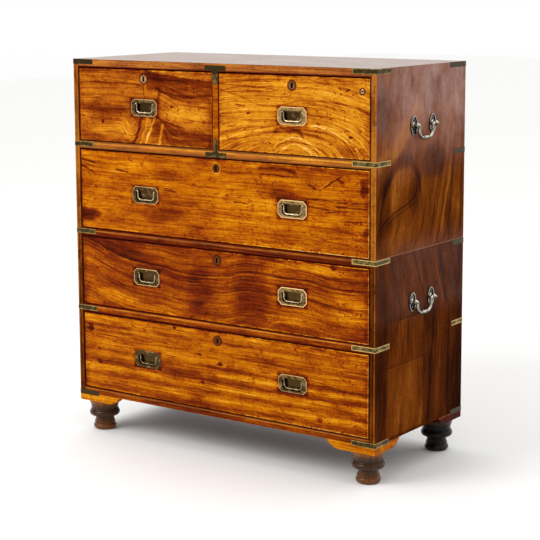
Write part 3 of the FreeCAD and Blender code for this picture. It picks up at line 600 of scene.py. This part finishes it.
drawer_front(
    "short_left", level=0.46, figure=broken_figure, contrast=0.56, red=0.2, pale=0.12, drop=2,
    strokes=[
        ([(14, 99), (60, 91), (122, 83), (226, 75)], 3, 66, -0.29),
        ([(20, 99), (122, 90), (226, 84)], 16, 5, 0.16),
        ([(46, 54), (85, 42), (122, 36), (226, 43)], 4, 10, -0.22),
        ([(30, -20), (72, -33), (132, -50), (226, -64)], 4, 80, -0.32),
        ([(-228, 61), (-120, 64), (-12, 60)], 2, 6, -0.24),
        ([(-228, 80), (-120, 78), (-30, 74)], 2, 3, -0.14),
        ([(-228, 26), (-150, 30), (-40, 24)], 3, 5, -0.14)],
    uprights=[
        ([(-98, 4), (-60, 22), (-26, 38)], 5, 6, 0.42),
        ([(-98, -36), (-58, -16), (-26, -8)], 9, 5, -0.36),
        ([(-98, -14), (-60, 4), (-26, 14)], 4, 4, 0.24), ([(-100, 52), (-48, 64)], 7, 7, 0.4),
        ([(22, 1), (64, 0)], 1.6, 1.6, -0.5), ([(-20, 47), (50, 52)], 5, 16, -0.22)],
    patches=[
        (146, -10, 86, 17, 0, 0.3), (150, 16, 70, 9, 0, 0.1), (-140, -12, 110, 16, 0, -0.13),
        (-64, -64, 46, 32, 0, 0.26), (-150, -70, 60, 16, 0, 0.12), (-148, -45, 6, 5, 0, -0.5),
        (97, 5, 5, 4, 0, -0.5), (-185, -88, 50, 12, 0, -0.1), (40, 76, 26, 30, 0, -0.1)])
drawer_front(
    "short_right", level=0.62, figure=arched_figure, contrast=0.86, red=0.15, pale=0.1, drop=2,
    strokes=[
        ([(-50, -39), (-10, -35), (30, -46)], 9, 12, -0.36),
        ([(-60, -96), (-30, -66), (11, -57), (60, -72), (94, -101)], 4, 3, 0.26),
        ([(-40, -101), (-15, -80), (11, -73), (40, -82), (62, -101)], 4, 3, 0.26),
        ([(-60, -101), (-30, -73), (11, -65), (60, -80), (84, -101)], 2, 3, -0.34),
        ([(-231, -71), (-146, -51), (-46, -31), (10, -20)], 4, 5, 0.2),
        ([(-231, -80), (-146, -60), (-50, -41)], 2, 6, -0.24),
        ([(0, -26), (54, -24), (138, -31), (188, -69), (206, -101)], 5, 4, 0.24),
        ([(0, -36), (54, -34), (130, -43), (176, -78), (190, -101)], 2, 8, -0.26),
        ([(-231, 59), (-150, 40), (-80, 22), (54, 39), (231, 15)], 3, 3, -0.2),
        ([(-231, 73), (-140, 70), (-50, 63)], 2, 3, -0.24),
        ([(-231, 88), (0, 84), (231, 88)], 2, 3, -0.12),
        ([(20, 2), (120, 0), (231, -30)], 3, 4, -0.16)],
    patches=[
        (180, -86, 44, 20, 0, -0.2), (-200, -90, 40, 16, 10, -0.16), (-137, -1, 6, 4, 20, -0.6),
        (178, -46, 6, 4, 0, -0.6), (168, 70, 7, 3, 30, -0.5), (20, 60, 200, 30, 0, 0.05)])
drawer_front(
    "upper_long", level=0.52, figure=level_figure, contrast=0.6, red=0.5, pale=0, drop=4,
    halo=0.38,
    strokes=[
        ([(142, 96), (195, 98), (249, 92)], 8, 9, -0.44), ([(150, 82), (240, 80)], 2, 3, -0.4),
        ([(349, 64), (386, 87)], 3, 3, -0.6), ([(386, 80), (394, 76)], 4, 4, -0.6),
        ([(300, 60), (312, 56)], 3, 3, -0.4), ([(388, 24), (404, 24)], 3, 3, -0.5),
        ([(384, 14), (404, 14)], 3, 3, -0.5), ([(420, 12), (466, 14)], 2, 2, -0.4),
        ([(430, 24), (462, 27)], 2, 2, -0.4), ([(410, -22), (466, -20)], 2, 2, -0.4),
        ([(-340, 60), (-310, 57)], 3, 3, -0.5), ([(-170, 16), (-146, 14)], 3, 3, -0.5),
        ([(66, 2), (96, 0)], 3, 3, -0.45), ([(-466, 84), (-428, 77)], 4, 5, -0.45),
        ([(-466, 62), (-436, 52)], 4, 4, -0.4), ([(-452, 69), (-432, 66)], 2, 3, -0.4),
        ([(290, 26), (340, 28), (372, 20)], 2, 2, -0.45), ([(300, 8), (350, 3)], 2, 2, -0.4),
        ([(352, -3), (405, 4)], 2, 2, -0.45), ([(-120, 38), (0, 34), (110, 40)], 3, 4, -0.16),
        ([(-330, -16), (-100, -20), (160, -12)], 3, 6, -0.14),
        ([(-60, -78), (160, -74), (420, -82)], 3, 6, -0.16)],
    patches=[
        (-448, -69, 42, 18, 0, -0.55), (-177, 57, 60, 16, 0, -0.22), (-185, -52, 90, 28, 0, -0.26),
        (214, 34, 40, 24, 0, -0.26), (462, 66, 14, 22, 0, -0.42), (464, -48, 11, 14, 0, -0.36),
        (330, -70, 140, 26, 0, -0.08), (60, 10, 130, 30, 0, 0.1), (-330, 70, 60, 20, 0, 0.1)])
drawer_front(
    "middle_long", level=0.38, figure=swept_figure, contrast=0.75, red=0.7, pale=0,
    strokes=[
        (sweep, 2, 6, -0.24), (beside(sweep, 12), 2, 4, -0.14), (beside(sweep, 23), 3, 5, -0.14),
        (beside(sweep, 7), 3, 2, 0.16), (beside(sweep, 48), 3, 8, -0.16),
        (beside(sweep, -22), 2, 4, -0.2),
        ([(170, -88), (200, -70), (240, -66), (284, -86)], 4, 6, 0.16),
        ([(186, -92), (219, -78), (252, -90)], 3, 5, -0.14)],
    patches=[
        (114, -10, 62, 90, 0, -0.26), (-62, 0, 42, 70, 0, -0.16), (-330, 66, 150, 24, -12, -0.26),
        (280, 78, 150, 14, 0, 0.34), (420, -16, 60, 52, 0, 0.28), (-380, -66, 90, 22, 0, 0.26),
        (-160, -76, 80, 20, 0, 0.2), (250, -50, 90, 24, 0, 0.14), (369, 89, 9, 7, 0, -0.8)])
drawer_front(
    "bottom_long", level=0.51, figure=level_figure, contrast=0.75, red=0.4, pale=0,
    strokes=[
        ([(-472, 80), (-300, 82), (-90, 76)], 7, 10, -0.18),
        ([(-472, 58), (-330, 62), (-180, 57)], 4, 9, -0.18),
        ([(40, 46), (260, 49), (472, 43)], 6, 11, -0.18),
        ([(-30, 10), (230, 8), (472, 5)], 7, 12, -0.24),
        ([(-472, -20), (-186, -24), (0, -22), (189, -25), (472, -18)], 10, 14, -0.28),
        ([(-472, -58), (-100, -60), (180, -56), (472, -61)], 6, 11, -0.2),
        ([(-472, -95), (0, -96), (472, -98)], 6, 10, -0.18),
        ([(-472, 94), (472, 97)], 14, 10, 0.14), ([(-472, 24), (0, 26)], 11, 14, 0.12),
        ([(60, 26), (472, 26)], 12, 12, 0.12), ([(0, -9), (472, -8)], 6, 7, 0.2),
        ([(-472, -42), (472, -42)], 10, 10, 0.14), ([(-472, -78), (472, -77)], 10, 10, 0.14)],
    patches=[
        (-149, 102, 7, 4, 0, -0.6), (-61, 39, 9, 4, 0, -0.7), (8, 21, 9, 4, 0, -0.7),
        (-418, -29, 9, 7, 0, -0.6), (-52, -38, 8, 4, 0, -0.6), (-452, 66, 16, 12, 0, -0.5),
        (330, -84, 10, 12, 0, -0.4)])


# ----------------------------------------------------------- drawer boxes --
# Sides, backs and bottoms are plainer, paler camphor, never polished. The sides are dovetailed to
# the front and the back, and the bottom slides into grooves.
plain = Surface("drawer_lining_wood", IOR=1.45, Specular_IOR_Level=0.2)
plain_tone, plain_fine = timber(plain.y + plain.x * 0.1, plain.z + plain.x, plain.x, 9.0, 0.6)
plain_colour = (plain_tone + 0.55).ramp([(0.0, (0.16, 0.08, 0.03)), (0.5, (0.42, 0.24, 0.11)),
                                         (1.0, (0.66, 0.44, 0.24))])
plain.coat(plain_fine, 0.15, Base_Color=plain_colour, Roughness=0.68 + plain_fine * 0.1)
for drawer in handles:
    dress(plain.material, drawer + "_drawer_box")


# ------------------------------------------------------------------ brass --
# Straps and T plates are sheet brass let in flush, and the flush handles are castings. They have
# gone olive and brown, with bright edges where the straps are rubbed and a painted highlight along
# the handle plates' rims. Locks are brass with steel bolts, with painted shade round the keyholes.
def brass(name, bright, dull, shine, rub_and_painted_light=None, clean=0.45, patchy=1.6):
    """Cast or sheet metal under a patchy film, with a mask of wear and painted light.

    rub_and_painted_light makes the metal brighter and cleaner where rubbed, and for the handle
    plates, keyhole plates and iron paints light and shade on it. shine is its roughness, clean is
    how much of it shows through the film, and patchy is how uneven the film is.
    """
    metal = Surface(name, Metallic=1.0)
    film = cloud(metal.x / 14.0, metal.z / 14.0, metal.y / 14.0, 4.0, 0.6)
    spots = cloud(metal.x / 3.0, metal.z / 3.0, metal.y / 3.0, 2.0)
    share = film * patchy + spots * (patchy * 0.3) + clean
    if rub_and_painted_light:
        share = share + rub_and_painted_light(metal)
    colour = share.ramp([(0.1, dull), (0.9, bright), (1.0, bright)])
    return metal.coat(film + spots * 0.4, 0.08, Base_Color=colour, Roughness=shine + spots * 0.3)


def escutcheon_rub_and_keyhole_shade(metal):
    """Cleaner at the top left, with a dark plate edge and painted shade round the keyhole."""
    across = nearest(abs(metal.x), (0.0, handle_x))
    up = nearest(metal.z, keyhole_levels)
    reach = across * across + up * up
    handled = metal.z.ease(900.0, 1000.0) * (metal.x.ease(-100.0, -240.0) * 0.5 + 0.26)
    # Painted shade round the keyhole slot, widening the dark of the hole.
    keyhole_shade = across.ease(4.4, 2.6) * up.ease(8.5, 6.0)
    return handled - between(reach, 100.0, 150.0, 14.0) * 0.55 - keyhole_shade * 0.6


def plate_rub_and_highlight(metal):
    """Painted highlight on the clipped rim, black well, dimmer lower down and to the left."""
    across = abs(abs(metal.x) - handle_x)
    up = nearest(metal.z, [level for _, level in handles.values()])
    clipped = (58.0 - across - up) * 0.707
    rim = least(plate_half_x - across, plate_half_z - up, clipped)
    well = metal.y.ease(-222.5, -219.5)
    handled = metal.z.ease(600.0, 1000.0) * 0.10 - 0.25
    handled = handled + metal.x.ease(-300.0, 300.0) * metal.z.ease(0.0, 1000.0) * 0.24
    # A painted highlight along the rim, stronger higher up and to the right.
    bright = metal.z.ease(160.0, 460.0) + metal.x.ease(0.0, 300.0) * 0.6
    bright = rim.ease(2.7, 1.3) * bright * 0.5
    return handled + bright - well * (handled + 0.29) - rim.ease(0.3, 0.0) * 0.4


def bail_rub(metal):
    """Dimmer towards the floor."""
    return metal.z.ease(700.0, 200.0) * -0.4


def strap_rub(metal):
    """Bright along the edges and ends of every strap; dull at the left, top, back and foot.

    One strap is bright at the back too.
    """
    half_height, end_x, end_y = 6.75, 425.0, -158.0
    edge = half_height - nearest(metal.z, strap_levels["upper"] + strap_levels["lower"])
    front = metal.y.ease(front_y + 0.3, front_y)
    end = least(abs(abs(metal.x) - end_x) + front.ease(1.0, 0.0) * 9.0,
                abs(metal.y - end_y) + front * 9.0)
    clean = between(metal.z, 352.0, 368.0, 4.0)
    dull = metal.x.ease(100.0, -350.0) * 0.34 + metal.z.ease(1030.0, 1050.0) * 0.36
    dull = dull + metal.y.ease(40.0, 120.0) * (0.7 - clean * 0.9)
    dull = dull + metal.z.ease(140.0, 120.0) * 0.34
    dull = dull + abs(metal.x).ease(60.0, 40.0) * 0.5
    return least(edge, end).ease(2.7, 1.3) * (0.8 - dull) - dull * 0.5


strap_brass = brass("strap_brass", (0.54, 0.37, 0.11), (0.05, 0.034, 0.012), 0.36,
                    strap_rub, 0.22)
handle_brass = brass("handle_brass", (0.98, 0.61, 0.24), (0.06, 0.033, 0.010), 0.32,
                     plate_rub_and_highlight, 0.34, 0.8)
bail_brass = brass("bail_brass", (0.86, 0.68, 0.42), (0.16, 0.11, 0.05), 0.26, bail_rub, 0.55)
lock_brass = brass("lock_brass", (0.66, 0.36, 0.18), (0.11, 0.030, 0.007), 0.38,
                   escutcheon_rub_and_keyhole_shade, 0.04, 0.8)
lock_steel = brass("lock_steel", (0.30, 0.29, 0.28), (0.10, 0.09, 0.085), 0.4)
dress(strap_brass, "upper_brass_straps", "lower_brass_straps")
for drawer in handles:
    dress(handle_brass, drawer + "_drawer_handle_plates")
    dress(lock_brass, drawer + "_drawer_lock")
    dress(lock_steel, drawer + "_drawer_lock_bolt")
    bails = [name for name in nodes if name.startswith(drawer) and name.endswith("_bail")]
    dress(bail_brass, *bails)


# ----------------------------------------------------------------- screws --
# Countersunk brass screws, filed nearly flush, hold every strap, T plate and handle plate. Their
# slots stand at all angles, as they were driven.
def screw_heads():
    """A node group that stands a slotted dome on each point, facing as it says, at any turn."""
    tree = bpy.data.node_groups.new("screw_heads", "GeometryNodeTree")
    for socket, kind in (("Places", "Geometry"), ("Radius", "Float"), ("Rise", "Float"),
                         ("Slot depth", "Float"), ("Seed", "Int"), ("Finish", "Material")):
        tree.interface.new_socket(socket, in_out="INPUT", socket_type="NodeSocket" + kind)
    tree.interface.new_socket("Heads", in_out="OUTPUT", socket_type="NodeSocketGeometry")
    given = tree.nodes.new("NodeGroupInput").outputs
    places, radius, rise, depth, seed, finish = [Wire(tree, given[number]) for number in range(6)]
    make = radius.node
    flat = make("CombineXYZ", {}, {0: radius, 1: radius, 2: rise})
    ball = make("GeometryNodeMeshUVSphere", {}, {"Segments": 14, "Rings": 8, "Radius": 1.0})
    dome = make("GeometryNodeTransform", {}, {"Geometry": ball, "Scale": flat})
    slot_size = make("CombineXYZ", {}, {0: radius * 3.0, 1: radius * 0.24, 2: rise})
    slot_place = make("CombineXYZ", {}, {2: rise * (1.6 - depth)})
    saw = make("GeometryNodeMeshCube", {}, {"Size": slot_size})
    saw = make("GeometryNodeTransform", {}, {"Geometry": saw, "Translation": slot_place})
    head = make("GeometryNodeMeshBoolean", {"operation": "DIFFERENCE"}, {0: dome, 1: saw})
    facing = make("GeometryNodeInputNamedAttribute", {"data_type": "FLOAT_VECTOR"},
                  {"Name": "facing"})
    angle = make("FunctionNodeRandomValue", {"data_type": "FLOAT"},
                 {2: 0.0, 3: 3.14, "Seed": seed}, 1)
    spin = make("FunctionNodeAxisAngleToRotation", {}, {"Axis": (0, 0, 1), "Angle": angle})
    stand_up = make("FunctionNodeAlignRotationToVector", {"axis": "Z"}, {"Vector": facing})
    turned = make("FunctionNodeRotateRotation", {"rotation_space": "LOCAL"},
                  {0: stand_up, 1: spin})
    driven = make("GeometryNodeInstanceOnPoints", {},
                  {"Points": places, "Instance": head, "Rotation": turned})
    driven = make("GeometryNodeRealizeInstances", {}, {0: driven})
    driven = make("GeometryNodeSetMaterial", {}, {"Geometry": driven, "Material": finish})
    tree.links.new(driven.socket, tree.nodes.new("NodeGroupOutput").inputs[0])
    return tree


screw_tree = screw_heads()


def drive(name, body, places, finish, radius=2.1, rise=0.3, depth=0.9):
    """One mesh of heads for a body: places are (x, y, z) in millimetres and a way to face."""
    mesh = bpy.data.meshes.new(name)
    mesh.from_pydata([[number / 1000.0 for number in place] for place, _ in places], [], [])
    ways = mesh.attributes.new("facing", "FLOAT_VECTOR", "POINT").data
    for way, (_, facing) in zip(ways, places):
        way.vector = facing
    piece = bpy.data.objects.new(name, mesh)
    bpy.context.scene.collection.objects.link(piece)
    heads = piece.modifiers.new("heads", "NODES")
    heads.node_group = screw_tree
    sizes = {"Radius": radius / 1000.0, "Rise": rise / 1000.0, "Slot depth": depth, "Seed": 7,
             "Finish": finish}
    for item in screw_tree.interface.items_tree:
        if item.name in sizes:
            heads[item.identifier] = sizes[item.name]
    ready = piece.evaluated_get(bpy.context.evaluated_depsgraph_get())
    piece.data = bpy.data.meshes.new_from_object(ready)
    piece.modifiers.clear()
    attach(piece, body)


screw_brass = brass("screw_brass", (0.42, 0.30, 0.13), (0.035, 0.026, 0.012), 0.34, None, 0.3)
forwards, backwards = (0, -1, 0), (0, 1, 0)
for drawer, (hands, level) in handles.items():
    spots = [((hand * handle_x + across, front_y - 0.1, level + up), forwards) for hand in hands
             for across, up in ((-38.5, 0.0), (38.5, 0.0), (0.0, 18.7))]
    drive(drawer + "_plate_screws", drawer + "_drawer", spots, screw_brass)
strap_x, strap_y = half_width + 0.6, 226.34
t_plate_places = ((-26, 1051.8), (26, 1051.8), (0, 1027), (-26, 822.9), (26, 822.9), (0, 842))
for section, levels in strap_levels.items():
    spots = []
    for level in levels:
        for hand in (-1, 1):
            spots += [((hand * (half_width - inset), -strap_y, level), forwards)
                      for inset in (10, 58)]
            spots += [((hand * (half_width - inset), strap_y, level), backwards)
                      for inset in (10, 50)]
            spots += [((hand * strap_x, y, level), (hand, 0, 0)) for y in (-216, -168, 176, 216)]
    if section == "upper":
        spots += [((x, -strap_y, z), forwards) for x, z in t_plate_places]
    drive(section + "_strap_screws", section + "_case", spots, screw_brass,
          2.1, 0.25)


# ------------------------------------------------------------------ nails --
# Cut iron nails hold each back board at both its ends. More of them hold the lowest and the
# highest board of each section along its floor and ceiling. Their heads are punched flush.
for section, floor_level, ceiling in (("upper", 589.3, 1052.8), ("lower", 110.0, 589.0)):
    board = (ceiling - floor_level) / 3.0
    rows = [floor_level + board * share for share in (0.17, 0.83, 1.17, 1.83, 2.17, 2.83)]
    spots = [((x, -front_y, z), backwards) for x in (-483, 483) for z in rows]
    spots += [((x, -front_y, z), backwards) for x in range(-400, 401, 160)
              for z in (rows[0] - 14, rows[-1] + 14)]
    drive(section + "_back_nails", section + "_case", spots, lock_steel,
          2.6, 0.25, 0.0)


# --------------------------------------------------------- hanging eyelet --
# A small brass eyelet let into the corner of the short right drawer, for a tag or a cord.
ring = bmesh.new()
profile = [(2.5, -225.4), (2.5, -226.1), (3.2, -226.4), (4.8, -226.4), (5.6, -226.1),
           (5.6, -225.4)]
turns = 28
rounds = []
for turn in range(turns):
    angle = turn * 2 * math.pi / turns
    rounds.append([ring.verts.new(((eyelet_x + reach * math.cos(angle)) / 1000.0, y / 1000.0,
                                   (eyelet_z + reach * math.sin(angle)) / 1000.0))
                   for reach, y in profile])
for here, after in zip(rounds, rounds[1:] + rounds[:1]):
    for k in range(len(profile)):
        ring.faces.new((here[k], here[k - 1], after[k - 1], after[k]))
bmesh.ops.recalc_face_normals(ring, faces=ring.faces)
eyelet_mesh = bpy.data.meshes.new("eyelet")
ring.to_mesh(eyelet_mesh)
eyelet_mesh.materials.append(brass("eyelet_brass", (0.62, 0.44, 0.22), (0.24, 0.15, 0.07), 0.3))
eyelet = bpy.data.objects.new("eyelet", eyelet_mesh)
bpy.context.scene.collection.objects.link(eyelet)
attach(eyelet, "short_right_drawer")


# ------------------------------------------------------- carrying handles --
# Cast iron bails with thick grips, swinging between posts on oval rosettes that are screwed to
# the sides. The iron has gone grey, with painted light on its upper faces and painted shade
# beneath them and in the rosettes' hollows.
def iron_light_and_shade(metal):
    """Painted light above and painted shade beneath and in the hollow of each rosette."""
    facing = Wire(metal.tree).node("TexCoord", {}, {}, "Normal")
    upward = facing.node("SeparateXYZ", {}, {0: facing}, 2)
    return upward.ease(-0.7, 0.7) * 0.9 - 0.42 - abs(metal.x).ease(498.4, 497.0) * 0.4


iron = brass("carrying_handle_iron", (0.66, 0.61, 0.52), (0.04, 0.034, 0.026), 0.24,
             iron_light_and_shade, 0.46, 0.9)
dress(iron, *[name for name in nodes if "carrying" in name or "rosettes" in name])
rosette_x, rosette_y = 497.2, 47.5
for section, level in (("upper", 912.3), ("lower", 456.0)):
    spots = [((hand * rosette_x, y, level + up), (hand, 0, 0)) for hand in (-1, 1)
             for y in (-rosette_y, rosette_y) for up in (-15.5, 15.5)]
    drive(section + "_rosette_screws", section + "_case", spots, iron, 2.6, 0.9)


# ------------------------------------------------------------------- feet --
# Turned feet of a denser, darker wood, each with a spigot that screws up into the block of its
# corner bracket.
foot_wood = Surface("turned_foot_wood", IOR=1.5, Specular_IOR_Level=0.2)
foot_tone = cloud(foot_wood.x / 9.0, foot_wood.y / 9.0, foot_wood.z / 60.0, 4.0)
# The back feet are darkened as painted shade; the neck is lighter, like the bracket above it.
foot_shade = foot_wood.z.ease(70.0, 84.0) * 0.36 - foot_wood.y.ease(-60.0, 100.0) * 0.6
foot_shade = foot_shade + foot_wood.z.ease(32.0, 10.0) * 0.16
foot_shade = foot_shade - between(foot_wood.z, 36.0, 64.0, 6.0) * 0.1
foot_colour = (foot_tone * 0.6 + 0.58 + foot_shade).ramp(
    [(0.0, (0.006, 0.003, 0.002)), (0.5, (0.050, 0.022, 0.010)), (1.0, (0.26, 0.085, 0.014))])
foot_wood.coat(foot_tone, 0.15, Base_Color=foot_colour, Roughness=0.2 + foot_tone * 0.2)
dress(foot_wood.material, *[name for name in nodes if name.endswith("_foot")])


# ------------------------------------------------------------- the studio --
# A pale floor, soft daylight from all round and a large soft lamp in front to the left.
floor_mesh = bpy.data.meshes.new("studio_floor")
floor_mesh.from_pydata([(-12, -8, 0), (12, -8, 0), (12, 20, 0), (-12, 20, 0)], [], [(0, 1, 2, 3)])
floor = bpy.data.objects.new("studio_floor", floor_mesh)
bpy.context.scene.collection.objects.link(floor)
pale_floor = bpy.data.materials.new("pale_floor")
pale_floor.use_nodes = True
floor_shader = pale_floor.node_tree.nodes["Principled BSDF"]
floor_shader.inputs["Base Color"].default_value = (0.93, 0.93, 0.92, 1)
floor_shader.inputs["Roughness"].default_value = 0.9
floor_mesh.materials.append(pale_floor)

world = bpy.data.worlds.new("daylight")
world.use_nodes = True
sky = Wire(world.node_tree).node("TexCoord", {}, {}, "Generated")
sky_y = sky.node("SeparateXYZ", {}, {0: sky}, 1)
sky_z = sky.node("SeparateXYZ", {}, {0: sky}, 2)
glow = (sky_y.ease(-0.6, 0.5) * 0.7 + 0.3) * sky_z.ease(-0.3, -0.04) + sky_z.ease(0.15, 0.9) * 0.5
background = world.node_tree.nodes["Background"]
background.inputs["Color"].default_value = (1, 1, 1, 1)
world.node_tree.links.new(glow.socket, background.inputs["Strength"])
bpy.context.scene.world = world

lamp = bpy.data.lights.new("soft_lamp", "AREA")
lamp.shape = "DISK"
lamp.size = 3.0
lamp.energy = 130.0
lamp_stand = bpy.data.objects.new("soft_lamp", lamp)
lamp_stand.location = (-1.6, -3.4, 3.2)
aim = Vector((0.0, 0.0, 0.5)) - lamp_stand.location
lamp_stand.rotation_euler = aim.to_track_quat("-Z", "Y").to_euler()
bpy.context.scene.collection.objects.link(lamp_stand)

# The camera stands in front and to the right, a little above the top of the chest.
camera_place = Matrix.Translation((2.5329, -3.5585, 1.2838))
azimuth, elevation, roll = math.radians(35.29), math.radians(8.80), math.radians(-0.23)
behind = Vector((math.sin(azimuth) * math.cos(elevation), -math.cos(azimuth) * math.cos(elevation),
                 math.sin(elevation)))
rightwards = behind.cross(Vector((0, 0, -1))).normalized()
upwards = behind.cross(rightwards)
level_turn = Matrix((rightwards, upwards, behind)).transposed()
camera_data = bpy.data.cameras.new("camera")
camera_data.sensor_width = 36.0
render_width, focal_length = 540.0, 1596.5  # both in pixels
camera_data.lens = 36.0 * focal_length / render_width
camera_data.shift_y = -0.0833
camera = bpy.data.objects.new("camera", camera_data)
camera.matrix_world = camera_place @ (level_turn @ Matrix.Rotation(roll, 3, "Z")).to_4x4()
bpy.context.scene.collection.objects.link(camera)
bpy.context.scene.camera = camera
bpy.context.scene.view_settings.view_transform = "Standard"
